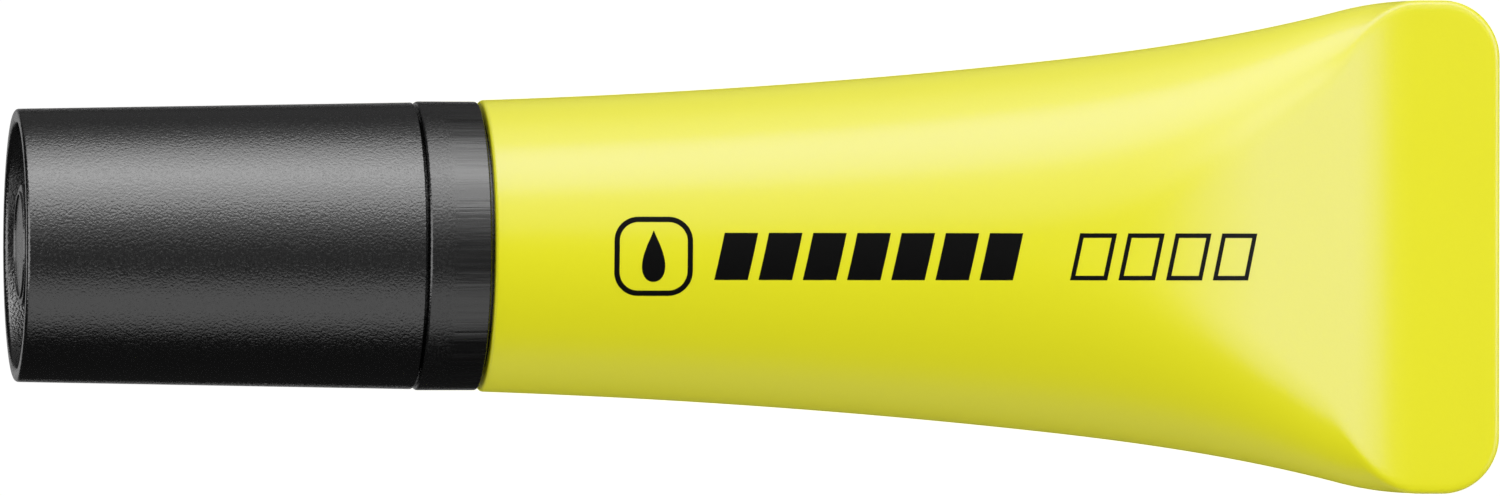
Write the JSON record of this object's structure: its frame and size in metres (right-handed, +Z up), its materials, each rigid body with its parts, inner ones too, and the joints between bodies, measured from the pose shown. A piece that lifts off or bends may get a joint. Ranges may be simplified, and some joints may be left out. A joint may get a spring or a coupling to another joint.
{
  "type": "highlighter",
  "caption": "Tube-shaped highlighter with a pull-off ventilated cap, chisel nib and a fluorescent body that flares into a flat tail.",
  "frame": {"origin": "on the ground under the middle of the pen, which lies on its broad side", "axes": "+X along the pen from the cap's end towards the flat tail, +Y across the flat tail, +Z up from the ground"},
  "size_m": [0.118, 0.0392, 0.023],
  "materials": {
    "cap_black": "fine spark-grained black plastic",
    "section_black": "satin black plastic, finely grained",
    "nib_felt": "ink-soaked pressed felt",
    "inked_fibre": "ink-soaked fibre rod",
    "clear_film": "thin clear wrap",
    "natural_plastic": "uncoloured moulded plastic",
    "body_yellow": "satin fluorescent yellow plastic"
  },
  "bodies": {
    "pen": {"tube_shell": "body_yellow", "front_section": "section_black", "chisel_nib": "nib_felt", "ink_reservoir": "inked_fibre", "reservoir_film": "clear_film", "breather_straw": "natural_plastic", "ink_barrel": "natural_plastic", "barrel_plug": "natural_plastic"},
    "cap": {"cap_shell": "cap_black", "cap_seal_cup": "cap_black"}
  },
  "joints": [
    {"name": "cap_pull", "type": "slide", "parent": "pen", "child": "cap", "axis": [-1, 0, 0], "range_m": [0, 0.045]}
  ]
}
